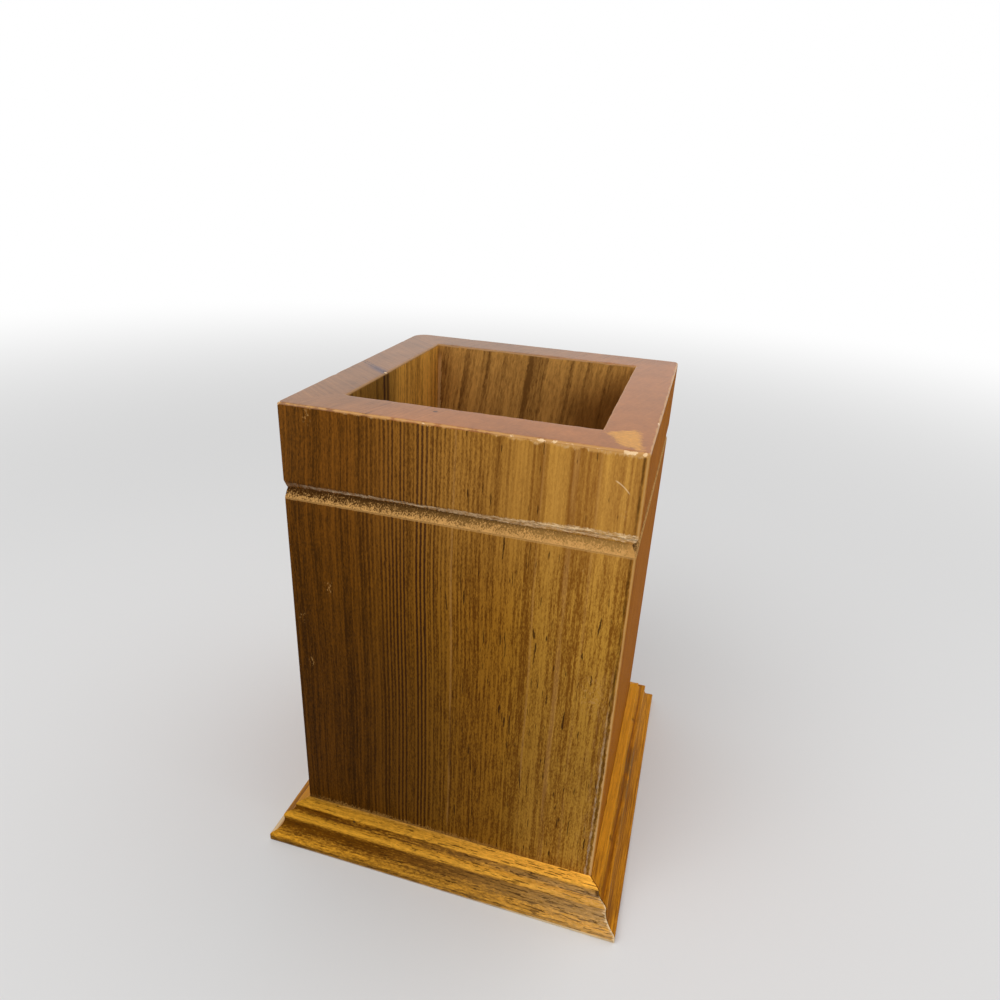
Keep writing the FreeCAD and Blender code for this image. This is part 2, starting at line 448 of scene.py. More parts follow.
def moulding_outline(sizes):
    """The moulding's section, out along the foot, up over its noses and coves and down the post."""
    out = HALF_BASE - HALF_POST
    foot = complex(-out + sizes.arris, 0)
    foot_nose = complex(-out, sizes.foot_height - sizes.foot_radius)
    cove_low = complex(-out + sizes.foot_radius, sizes.foot_height)
    cove_high = complex(-sizes.shoulder_out, sizes.shoulder_foot)
    shoulder = complex(-sizes.shoulder_out, sizes.shoulder_top - sizes.shoulder_radius)
    tread_outer = complex(-sizes.shoulder_out + sizes.shoulder_radius, sizes.shoulder_top)
    tread_inner = complex(-sizes.tread_inner, sizes.shoulder_top)
    step_foot = complex(-sizes.step_out, sizes.step_foot)
    step_nose = complex(-sizes.step_out, sizes.step_top - sizes.step_radius)
    step_top = complex(-sizes.step_out + sizes.step_radius, sizes.step_top)
    return trace(
        0j,
        (foot, 1.5, FACE),
        (complex(-out, sizes.arris), 0.1, FACE, QUARTER),
        (foot_nose, 0.3, FACE),
        (cove_low, 0.14, FACE, QUARTER),
        (cove_high, 0.25, FACE, -sizes.cove_sag / abs(cove_high - cove_low)),
        (shoulder, 0.25, FACE),
        (tread_outer, 0.14, FACE, QUARTER),
        (tread_inner, 0.25, FACE),
        (step_foot, 0.2, FACE, -sizes.step_cove_sag / abs(step_foot - tread_inner)),
        (step_nose, 0.2, FACE),
        (step_top, 0.14, FACE, QUARTER),
        (complex(0, BASE_HIGH.z), 0.3, FACE),
        (0j, 2, FACE),
    )


# How light the front moulding and the others are at each height, from 1 on a crest to -1 in a cove; the
# light and dark stand partly for painted light on crests and painted shade in coves
RELIEF = np.array([
    (0, 0, -0.6), (1.5, -0.1, -0.4), (2.2, 0.1, -0.1), (2.6, 0.1, 0), (3.2, -0.2, -0.2), (4, -0.5, -0.4),
    (5.5, -0.6, -0.5), (6.3, -0.4, -0.6), (7, 0.3, -0.4), (7.6, 0.9, -0.1), (8.05, 1, 0), (8.2, 0, -0.2),
    (8.6, -0.7, 0.1), (9.2, -0.5, 0.5), (9.6, 0, 0.7), (10.1, 1.1, 0.9), (10.5, 1.5, 0.9), (10.8, 1.2, 0.7),
])
# How far each pin stands from the middle of its moulding, and how high
PIN_OFFSET = 25 * MM
PIN_HEIGHT = 8.75 * MM


def build_moulding(sizes, side, materials):
    """One moulding: its outline carried between the two mitres, gently uneven and worn.

    A point keeps its place along the side.  Its depth is the outline's, plus the size of a slow
    noise, plus a finer one times how light its relief is, plus a bell-shaped sinking at each pin.
    """
    seed = 100 + 10 * SIDES.index(side)
    outline, zones = moulding_outline(sizes)
    depth = outline.real[:, None]
    across = columns(MOULDING_COLUMNS, MOULDING_CROWDING)[None, :]
    height = outline.imag[:, None] * np.ones_like(across)
    reach = HALF_POST - depth
    opened = sizes.mitre_gap * height / BASE_HIGH.z if side == "front" else 0
    x = across * np.where(across > 0, reach - opened, reach)
    out = -depth
    relief = np.interp(height, RELIEF[:, 0] * MM, RELIEF[:, 1 if side == "front" else 2])
    relief = relief - 0.8 * bell(np.hypot(out - sizes.tread_inner, height - sizes.shoulder_top), 0.5 * MM)
    showing = (out > 0.05 * MM) * (height > 0.3 * MM) * smooth_step(0, 0.5 * MM, reach - np.abs(x))
    uneven = 0.05 * MM * value_noise(x, height, 6 * MM, 2 * MM, seed + 1)
    worn = 0.05 * MM * (1 + value_noise(x, height, 1.8 * MM, 3 * MM, seed + 2)) * np.maximum(relief, 0)
    inset = depth + showing * (np.abs(uneven) + worn)
    z = height - showing * worn
    marks = np.zeros_like(x)
    for place in (-PIN_OFFSET, PIN_OFFSET):
        marks += bell(np.hypot(x - place, height - PIN_HEIGHT), 0.7 * MM) * (out > 0.5 * MM)
    inset = inset + 0.25 * MM * marks
    ends = bell(HALF_POST - depth - np.abs(x), 0.45 * MM)
    glue = ends * (x > 0) if side == "front" else 0 * x
    attributes = {"relief": relief, "mark": np.clip(marks, 0, 1), "glue": glue}
    return add_strip(side + "_moulding_wood", side, x, inset, z, zones, attributes, materials)


# ---------------------------------------------------------------- finishes


# The rays that see the pale background, by the names of their sockets
SEEN_RAYS = ("Camera Ray", "Glossy Ray", "Transmission Ray")


class Value:
    """A number, vector or colour in a graph, which takes part in sums as a plain number does."""

    def __init__(self, graph, socket):
        self.graph = graph
        self.socket = socket

    def __add__(self, other):
        return self.graph.math("ADD", self, other)

    def __sub__(self, other):
        return self.graph.math("SUBTRACT", self, other)

    def __rsub__(self, other):
        return self.graph.math("SUBTRACT", other, self)

    def __mul__(self, other):
        return self.graph.math("MULTIPLY", self, other)

    def __pow__(self, other):
        return self.graph.math("POWER", self, other)

    def __abs__(self):
        return self.graph.math("ABSOLUTE", self)

    __radd__ = __add__
    __rmul__ = __mul__


class Graph:
    """The shader nodes of a material or world, with a short call for each kind in use."""

    def __init__(self, owner):
        owner.use_nodes = True
        self.owner = owner
        self.tree = owner.node_tree
        self.tree.nodes.clear()

    def node(self, kind, *inputs, **settings):
        """A node whose sockets, in order, take values or numbers; None leaves one alone."""
        made = self.tree.nodes.new("ShaderNode" + kind)
        for key, value in settings.items():
            setattr(made, key, value)
        for socket, value in zip(made.inputs, inputs):
            self.join(socket, value)
        return made

    def value(self, kind, *inputs, output=0, **settings):
        """One output of a new node."""
        return Value(self, self.node(kind, *inputs, **settings).outputs[output])

    def join(self, socket, value):
        """Links a socket to a value, or sets it to a number, a vector or a colour."""
        if isinstance(value, Value):
            self.tree.links.new(socket, value.socket)
        elif value is not None:
            socket.default_value = (*value, 1) if socket.type == "RGBA" else value

    def math(self, operation, *values, clamp=False):
        """The result of one sum."""
        return self.value("Math", *values, operation=operation, use_clamp=clamp)

    def clamp(self, value):
        """The value, or 0 or 1 where it is past them."""
        return self.math("ADD", value, 0, clamp=True)

    def larger(self, a, b):
        """The larger of two."""
        return self.math("MAXIMUM", a, b)

    def ramp(self, low, high, value):
        """0 to 1 as the value goes smoothly from low to high, which may be the smaller one."""
        return self.value("MapRange", value, low, high, 0, 1, interpolation_type="SMOOTHSTEP")

    def band(self, middle, half_width, soft, value):
        """1 within half a width of the middle, fading to 0 over the soft margin."""
        return self.ramp(half_width + soft, half_width, abs(value - middle))

    def stops(self, value, *pairs):
        """The height of a line of straight pieces through (value, height) pairs; none is below 0."""
        low = pairs[0][0]
        high = pairs[-1][0]
        made = self.node("ValToRGB", self.value("MapRange", value, low, high, 0, 1))
        elements = made.color_ramp.elements
        elements[0].position = 0
        elements[1].position = 1
        for at, height in pairs[1:-1]:
            elements.new((at - low) / (high - low))
        for element, (at, height) in zip(elements, pairs):
            element.color = (height, height, height, 1)
        return Value(self, made.outputs[0])

    def scale(self, base, factor):
        """A colour made darker or lighter."""
        return self.value("VectorMath", base, None, None, factor, operation="SCALE")

    def tint(self, base, *shares):
        """A colour whose red, green and blue are each multiplied by a share."""
        return self.value("VectorMath", base, self.vector(*shares), operation="MULTIPLY")

    def mix(self, factor, a, b):
        """Colour a where the factor is 0 and b where it is 1."""
        skipped = [None] * 5
        settings = {"data_type": "RGBA", "clamp_factor": True}
        return self.value("Mix", factor, *skipped, a, b, output=2, **settings)

    def vector(self, x, y, z):
        """A vector of three values or numbers."""
        return self.value("CombineXYZ", x, y, z)

    def noise(self, point, cells, shift, detail=2, roughness=0.5):
        """Smooth noise from 0 to 1, with a number of cells to the millimetre along each axis."""
        axes = [
            self.math("MULTIPLY_ADD", along, cell, shift / part)
            for along, cell, part in zip(point, cells, (1, 2, 3))
        ]
        return self.value("TexNoise", self.vector(*axes), None, 1, detail, roughness)

    def attribute(self, name):
        """A number that the mesh carries."""
        return self.value("Attribute", output="Fac", attribute_name=name)

    def local(self, side):
        """Places in millimetres along the side, behind its face and up, whichever side it is."""
        place = self.value("TexCoord", output="Object")
        turn = -SIDES.index(side) * math.pi / 2
        turned = self.value("Mapping", place, (0, HALF_POST / MM, 0), (0, 0, turn), (1 / MM, 1 / MM, 1 / MM))
        return [Value(self, axis) for axis in self.node("SeparateXYZ", turned).outputs]

    def seen(self):
        """1 for the camera's own rays and for mirrored and transmitted ones."""
        path = self.node("LightPath").outputs
        camera, glossy, through = (Value(self, path["Is " + kind]) for kind in SEEN_RAYS)
        return self.larger(self.larger(camera, glossy), through)

    def surface(self, base, roughness, height, bump, specular=0.3, coat=0, coat_roughness=0.2, metallic=0):
        """Ends a material in one shader, with a bump whose height is in millimetres."""
        relief = self.node("Bump", 1, bump * MM)
        self.join(relief.inputs["Height"], height)
        shader = self.node("BsdfPrincipled")
        inputs = {
            "Base Color": base,
            "Roughness": roughness,
            "Normal": Value(self, relief.outputs[0]),
            "Specular IOR Level": specular,
            "Coat Weight": coat,
            "Coat Roughness": coat_roughness,
            "Metallic": metallic,
        }
        for name, value in inputs.items():
            self.join(shader.inputs[name], value)
        self.node("OutputMaterial", Value(self, shader.outputs[0]), target="ALL")
        return self.owner


def new_material(name):
    """The empty graph of a new material."""
    return Graph(bpy.data.materials.new(name))


def contrast(value, amount):
    """The value's distance from one half, times the amount."""
    return amount * (value - 0.5)


# Pale streaks down the front board: place, half width in millimetres and strength
PALE_STREAKS = ((0.8, 0.1, 0.4), (19.6, 0.1, 0.4), (26, 0.4, 0.4), (30.6, 0.15, 0.25))
# Small rubbed marks on the front board: place along it, height and radius in millimetres
SCUFF_MARKS = (
    (-30, 81, 1.6), (-37.5, 71, 1.4), (-36, 58, 1.2), (34.5, 67, 4.5),
    (-33, 123, 1.5), (30, 98.5, 1), (36.5, 112, 1),
)
# Dark stripes inside the back board: place, width in millimetres and strength
BACK_STRIPES = (
    (27.6, 0.9, 0.35), (26.2, 0.6, 0.2), (20.8, 0.4, 0.5), (19.6, 0.3, 0.25),
    (13.6, 0.4, 0.5), (8.5, 0.4, 0.25), (1.4, 0.5, 0.5), (-0.6, 1.6, 0.5),
    (-3.2, 0.3, 0.3), (-10.8, 0.4, 0.2), (-15.5, 0.5, 0.15), (-20.6, 0.4, 0.2),
)
# The bared patch of the rim, clockwise from above, and the two ends of its crack, in millimetres
PATCH_CORNERS = ((29.8, -30.2), (36.3, -26.3), (38.6, -39.2), (33.4, -37.2))
RIM_CRACK = ((-39.3, 0.2), (-29.8, -7.3))


def front_wood(finish):
    """The front board: dark soft stripes at the left, close lines, then golden open grain, with painted
    light and shade making it lighter towards the right and the top.
    """
    g = new_material("front_board_varnished_wood")
    point = x, depth, z = g.local("front")

    # The grain leans at the upper left, bends slowly and is rough from fibre to fibre
    slow = g.noise(point, (0.025, 0.02, 0.013), 3, 1)
    rough = g.noise(point, (1.2, 1, 1.3), 6)
    lean = -2 * g.ramp(-8, -36, x) * g.ramp(96, 126, z)
    across = x + contrast(slow, 3) + contrast(rough, 0.22) + lean
    grain = (across, depth, z)

    def streaks(cells_across, cells_along, shift, detail=1):
        return g.noise(grain, (cells_across, 0.3, cells_along), shift, detail, 0.55)

    left = g.ramp(-10, -20, x)
    right = g.ramp(2, 12, x)
    middle = g.stops(
        x, (-40, 0.05), (-24, 0.15), (-17, 0.35), (-13, 0.8), (-8, 1),
        (-4.5, 0.9), (-3, 0.4), (4, 0.2), (10, 0.12), (40, 0.06),
    )
    drift = g.noise(grain, (0.16, 0.1, 0.004), 2, 1)
    wave = g.math("SINE", 2 * math.pi * across + 11 * drift)
    group = g.ramp(0.22, 0.44, streaks(0.8, 0.006, 35, 0)) * middle
    dark_lines = g.ramp(-0.2, 0.8, wave) * group
    lines = 1.25 * (g.ramp(0.1, -0.7, wave) - 0.25) * group
    soft = contrast(streaks(0.6, 0.006, 21), 0.8) * (0.5 + 1.1 * left)
    boards = g.ramp(0.4, 0.6, streaks(0.5, 0.004, 11, 2)) - 0.5
    calm = g.ramp(0, 16, x) * g.ramp(86, 110, z)
    boards = boards * (right * (0.42 + 0.24 * calm))
    narrow = contrast(streaks(1.9, 0.014, 5, 2), 1.6)
    narrow = narrow * g.stops(z, (0, 1), (96, 1), (110, 0.85), (126, 0.75))
    belly = g.stops(x, (-9, 0), (-1, 0.7), (13, 0.7), (20, 0)) * g.ramp(100, 75, z)
    flecks = contrast(streaks(4.4, 1.4, 7, 1), 2) * (1 - 0.3 * left)
    dashes = contrast(streaks(2.8, 0.18, 9, 3), 1.6) * (1 + 0.35 * right + belly)
    fine = (narrow + flecks + dashes) * (1 - 0.62 * calm)
    tone = g.clamp(0.5 + lines + soft + boards + fine)

    # Dark at the left and golden at the right: partly the wood's own colour, partly painted light that falls
    # more on the right
    place = g.stops(
        x, (-40, 0), (-34, 0), (-24, 0.02), (-16, 0.11), (-8, 0.22),
        (0, 0.42), (10, 0.5), (20, 0.75), (31, 0.98), (40, 1),
    )
    base = g.mix(tone, g.mix(place, finish.umber, finish.tan), g.mix(place, finish.brown, finish.honey))
    # Painted light and shade, partly also the wood's own tone: lighter towards the top, darker towards the
    # foot
    light = g.stops(z, (0, 0.63), (20, 0.61), (42, 0.64), (67, 0.73), (96, 0.89), (110, 1.04), (126, 1.13))
    base = g.scale(base, light)
    dark_lines = dark_lines * g.stops(z, (40, 0.6), (62, 0.75), (90, 0.9), (106, 0.6))
    base = g.mix(dark_lines, base, finish.maroon)
    # Lower down the colour is a deeper orange, most of all in the middle
    deep = g.ramp(113, 76, z)
    deep_middle = deep * g.stops(
        x, (-40, 0), (-26, 0), (-16, 0.3), (-8, 0.5), (4, 0.85), (13, 0.9), (21, 0.1), (40, 0)
    )
    blue = deep * (0.18 * g.ramp(14, 24, x) - 0.42) - 0.16 * deep_middle
    base = g.tint(base, 1 - 0.05 * deep_middle, 1 - 0.15 * deep_middle, 1 + blue)
    # Lighter at the right of the foot; darker low on the left, partly as painted shade
    foot = g.ramp(14, 32, x) * g.ramp(45, 8, z)
    lower = g.ramp(8, -3, x) * g.ramp(95, 50, z)
    base = g.scale(base, 1 + 0.28 * foot - 0.14 * lower)
    # A pale painted sheen over the upper face, strongest at the right end
    painted_sheen = g.stops(x, (-40, 0.35), (-32, 0.12), (-18, 0.05), (-8, 0.15), (20, 0.4), (36, 1.5))
    painted_sheen = painted_sheen * g.ramp(92, 120, z)
    base = g.mix(0.1 * painted_sheen, base, finish.lip)

    pale = 0
    for at, width, amount in PALE_STREAKS:
        pale = g.larger(pale, g.band(at, width, 0.3, across) * amount)
    pale = pale * g.ramp(0.25, 0.6, streaks(1, 0.06, 19))
    # The streaks' pale colour darkens towards the foot, with the same painted shade
    base = g.mix(0.8 * pale, base, g.scale(finish.bare, g.stops(z, (0, 0.62), (126, 1))))

    long_pores = g.noise(grain, (2.3, 1, 0.2), 13, 0)
    edge = g.stops(x, (-40, 0.88), (-14, 0.86), (-4, 0.8), (2, 0.775), (12, 0.755), (22, 0.765), (40, 0.78))
    edge = edge + g.stops(z, (92, 0), (102, 0.035))
    pore = g.ramp(edge, edge + 0.06, long_pores)
    base = g.mix(0.85 * pore, base, finish.pore)
    base = glued_edge(g, finish, point, base)
    base = scuffs(g, finish, point, base)
    rubbed = g.stops(x, (-40, 0.75), (-10, 0.85), (8, 1), (40, 1))
    base = worn_arris(g, finish, point, base, rubbed)
    base, torn = groove_finish(g, finish, point, base, True)
    fuzz = g.ramp(12, 11.2, z + contrast(streaks(3, 1.6, 15, 2), 4))
    fuzz = fuzz * g.stops(x, (-40, 0.1), (-30, 0.6), (8, 0.5), (22, 0.15), (40, 0))
    base = g.mix(fuzz, base, g.scale(finish.drift, 0.8))

    height = 1.2 * flecks + narrow + 0.6 * lines + torn - 1.6 * pore
    return g.surface(base, 0.55, height, 0.045, specular=0.03)


def glued_edge(g, finish, point, base):
    """The edge of the right board beside the front board: a dark glue line, then a pale strip.

    The strip is bare and whitish below the middle and ragged near the foot.
    """
    x, _, z = point
    ragged = g.noise(point, (0.9, 1, 0.4), 27, 4, 0.7)
    low = g.ramp(82, 40, z)
    foot = g.ramp(30, 14, z)
    reach = x + contrast(ragged, 1.3) * (0.3 + 0.7 * low) + 0.15 * foot
    broken = g.ramp(0.35, 0.6, g.noise(point, (0.3, 1, 0.25), 29, 3, 0.6))
    strip = g.ramp(39.35, 39.6, reach)
    second = g.band(38.5, 0.08, 0.25, reach) * broken * low
    gap = g.band(39, 0.1, 0.3, reach) * (0.3 + 0.6 * broken)
    base = g.mix(0.8 * gap, base, finish.umber)
    base = g.mix(0.5 * second, base, finish.fibre)
    colour = g.mix(0.05 + 0.15 * low, finish.bare, finish.glue)
    return g.mix(0.85 * strip, base, colour)


def scuffs(g, finish, point, base):
    """Pale rubbed places: along the right edge, and a few small marks on the front."""
    x, _, z = point
    cloud = g.noise(point, (1.6, 0.5, 0.3), 33, 4, 0.7)
    side = g.ramp(32.5, 38, x) * g.ramp(84, 62, z)
    side = side * g.ramp(0.48, 0.72, cloud)
    marks = 0
    for at_x, at_z, radius in SCUFF_MARKS:
        distance = ((x - at_x) ** 2 + (0.6 * (z - at_z)) ** 2) ** 0.5
        marks = g.larger(marks, g.ramp(radius, radius * 0.3, distance))
    specks = g.ramp(0.56, 0.64, g.noise(point, (2.6, 1, 1.6), 37, 2, 0.6))
    marks = marks * specks
    # One curved scratch in the upper band
    beyond = x - 34
    line = z - (119.1 - 0.4 * beyond) + 0.13 * beyond ** 2
    scratch = g.band(0, 0.06, 0.18, line) * g.band(35.5, 1.1, 0.6, x)
    whole = g.larger(0.4 * side, 0.5 * marks)
    base = g.mix(whole, base, finish.lip)
    return g.mix(0.6 * scratch, base, finish.chip)


def worn_arris(g, finish, point, base, amount):
    """The rim's and corners' arrises, rubbed to bare wood with pale chips."""
    ragged = g.noise(point, (1.7, 1, 0.6), 17, 3, 0.65)
    near = g.attribute("rim_wear")
    worn = g.ramp(0.15, 0.5, near + contrast(ragged, 1)) * g.ramp(0.02, 0.15, near)
    rubbed = g.mix(0.3 * g.ramp(0.45, 0.7, ragged), finish.bare, finish.glue)
    base = g.mix(0.9 * worn * amount, base, rubbed)
    return fresh_chips(g, finish, point, base)


def fresh_chips(g, finish, point, base):
    """Pale broken wood in the chips of the rim's arrises."""
    gritty = g.noise(point, (3, 1, 3), 18, 2, 0.7)
    chip = g.ramp(0.4, 0.6, g.attribute("chip") + contrast(gritty, 1.6))
    return g.mix(0.85 * chip, base, finish.chip)


def groove_finish(g, finish, point, base, front):
    """The groove and the height of its torn fibres.

    Its upper side is as dark as the wood, with a wavy line of greyed fibres.  Along its root runs a line of
    painted shade; below it, grime and painted shade fade into mottled tan and a rubbed pale lower lip.
    """
    x, _, z = point
    strands = g.noise(point, (2.6, 1, 1.4), 23, 3, 0.7)
    grit = g.noise(point, (3.2, 2, 2.4), 47, 2, 0.75)
    shreds = g.noise(point, (0.6, 1, 3.4), 49, 3, 0.65)
    coarse = g.noise(point, (0.5, 1, 0.4), 25)
    level = z + contrast(strands, 1.2)
    right, lift, spread, pulled, root_shade = 0.3, 0.1, 0.1, 0.75, 0.5
    if front:
        right = g.stops(x, (-40, 0), (-25, 0.15), (-5, 0.45), (12, 0.75), (28, 1), (40, 1))
        lift = 0.7 * g.ramp(8, 30, x)
        spread = 0.6 * g.ramp(-14, 26, x)
        pulled = g.stops(x, (-40, 0.2), (-26, 0.75), (-8, 1), (40, 1))
        root_shade = g.stops(x, (-40, 0.25), (-20, 0.4), (-5, 0.4), (12, 0.3), (28, 0.08))
    inside = g.ramp(0.2, 0.7, g.attribute("groove"))
    rise = g.ramp(GROOVE_ROOT + 0.3, GROOVE_BOTTOM - 0.9, z) + 0.12 * right
    rise = rise + contrast(grit, 3.2) + contrast(coarse, 0.6)
    # Grime and painted shade: dark towards the root, lighter towards the lower lip
    dirt_and_shade = g.mix(right ** 1.5, finish.umber, g.scale(finish.drift, 0.85))
    lower = g.mix(g.ramp(0.22, 0.82, rise), dirt_and_shade, g.scale(finish.lip, 0.8 + 0.5 * coarse + 0.15 * right))
    # A line of painted shade along the root, darkest at the left
    root = g.band(GROOVE_ROOT + 0.05, 0.15, 0.4, level) * root_shade
    groove = g.mix(root, lower, finish.pore)
    upper = g.ramp(GROOVE_ROOT, GROOVE_ROOT + 0.4, z)
    groove = g.mix(upper, groove, g.mix(0.8 * root, base, finish.pore))
    groove = g.mix(0.7 * g.ramp(37, 39, x), groove, finish.bare)
    base = g.mix(inside, base, groove)
    middle = GROOVE_TOP - 0.95 + lift + contrast(coarse, 0.7)
    away = abs(level - middle)
    split = g.ramp(0.4, 0.1, away) * g.clamp(right - 0.4)
    away = away - spread
    broken = g.ramp(0.3, 0.6, g.noise(point, (0.9, 1, 0.9), 45, 3, 0.6))
    fibres = g.ramp(0.6, 0.2, away) * pulled
    fibres = fibres * (0.5 + 0.5 * broken)
    fibres = fibres * (0.2 + 0.8 * g.ramp(0.4, 0.58, shreds))
    lip_line = 0.6 * g.band(GROOVE_BOTTOM - 0.05, 0.12, 0.2, z + contrast(strands, 0.5))
    base = g.mix(lip_line, base, finish.lip)
    torn = 2.5 * g.larger(inside, fibres) * (strands + grit)
    pale = g.mix(right, finish.fibre, finish.chip)
    return g.mix(fibres, base, g.mix(split, pale, g.scale(finish.fibre, 0.45))), torn


def side_wood(finish, side):
    """A side or back board: orange brown upright grain with gently wandering stripes."""
    g = new_material(side + "_board_varnished_wood")
    point = x, depth, z = g.local(side)
    shift = 31 + 7 * SIDES.index(side)
    slow = g.noise(point, (0.03, 0.02, 0.012), shift, 1)
    rough = g.noise(point, (1.2, 1, 1.3), shift)
    across = x + contrast(slow, 9) + contrast(rough, 0.4)
    grain = (across, depth, z)
    broad = g.noise(grain, (0.25, 0.1, 0.006), shift)
    narrow = g.noise(grain, (1.5, 0.4, 0.012), shift, 3, 0.6)
    flecks = g.noise(grain, (3, 1, 0.7), shift, 2, 0.6)
    tone = 0.5 + contrast(broad, 1.5) + contrast(narrow, 1.4) + contrast(flecks, 0.6)
    base = g.mix(g.clamp(tone), finish.side_dark, finish.side_light)
    pore = g.ramp(0.73, 0.78, g.noise(grain, (2, 1, 0.16), shift, 0))
    base = g.mix(0.85 * pore, base, finish.pore)
    base = worn_arris(g, finish, point, base, 0.8)
    base, torn = groove_finish(g, finish, point, base, False)
    corner = g.ramp(0.35, 0.8, g.attribute("end_wear") + contrast(flecks, 0.9))
    base = g.mix(0.6 * corner, base, finish.bare)
    height = contrast(flecks, 0.9) + contrast(narrow, 1.2) + torn - 1.5 * pore
    return g.surface(base, 0.65, height, 0.05, specular=0.01)


def inside_wood(finish, side):
    """The inside of a board: broad dark upright stripes on lighter wood under thin varnish, with painted
    shade over the right part of the back wall and the front half of the left wall.
    """
    g = new_material(side + "_board_inside_wood")
    point = x, depth, z = g.local(side)
    shift = 61 + 9 * SIDES.index(side)
    slow = g.noise(point, (0.05, 0.02, 0.02), shift, 1)
    rough = g.noise(point, (1.2, 1, 1.3), shift)
    lean = 0.12 * z - 13.8 if side == "back" else 0
    across = x + contrast(slow, 3) + contrast(rough, 0.7) + lean
    grain = (across, depth, z)
    narrow = g.noise(grain, (0.9, 0.3, 0.03), shift, 3, 0.6)
    flecks = g.noise(grain, (2.6, 1, 0.5), shift, 2, 0.6)
    tone = 0.68 + contrast(narrow, 2.4 if side == "left" else 1.4) + contrast(flecks, 1.5)
    if side == "back":
        for at, width, amount in BACK_STRIPES:
            tone = tone - g.band(at, width / 2, width + 0.3, across) * amount
    else:
        broad = g.noise(grain, (0.28, 0.1, 0.008), shift, 2, 0.6)
        tone = tone + contrast(broad, 1.4)
    base = g.mix(g.clamp(tone), finish.inner_dark, finish.inner_light)
    if side == "left":
        # Painted shade: the left wall inside darkens over its front half
        light = g.stops(x, (-29, 1.3), (-14, 1.3), (-4, 1.2), (0, 1.05), (5, 0.6), (10, 0.48), (29, 0.55))
        base = g.tint(g.scale(base, light), 1.03, 1, 0.72)
        base = crack(g, finish, point, base)
    if side == "back":
        # Painted shade deep in the well over the back wall's right part: darker and ruddier lower down,
        # easing further down
        deep = g.stops(x, (-27, 1), (-16, 0.92), (-8, 0.34), (0, 0.17), (12, 0.14), (20, 0.12), (26, 0))
        deep = g.ramp(123, 109, z - 4 * g.ramp(-16, -26, x)) * deep
        deep = deep * (0.5 + 0.5 * g.ramp(50, 100, z))
        base = g.mix(0.6 * deep, base, g.scale(finish.rust, 0.4))
        base = g.tint(base, 1 - 0.38 * deep, 1 - 0.47 * deep, 1 - 0.5 * deep)
        corner = g.ramp(27.9, 28.2, x + contrast(flecks, 1)) * g.ramp(124, 119, z)
        base = g.mix(0.7 * corner, base, g.mix(0.5, finish.straw, finish.chip))
    rubbed = 0.45 * g.band(POST_HEIGHT / MM, 0.3, 0.4, z)
    base = g.mix(rubbed, base, finish.lip)
    return g.surface(base, 0.5, contrast(flecks, 1) + contrast(narrow, 1), 0.05, specular=0.05)


def crack(g, finish, point, base):
    """Where the crack in the left board's rim runs on down its inner face as two dark streaks."""
    x, _, z = point
    place = x + contrast(g.noise(point, (0.01, 0.1, 0.15), 57), 1.2)
    fade = g.ramp(60, 110, z)
    first = g.band(8.8, 0.4, 0.5, place)
    second = 0.85 * g.band(6.9, 0.35, 0.8, place)
    return g.mix(0.9 * g.larger(first, second) * fade, base, finish.maroon)


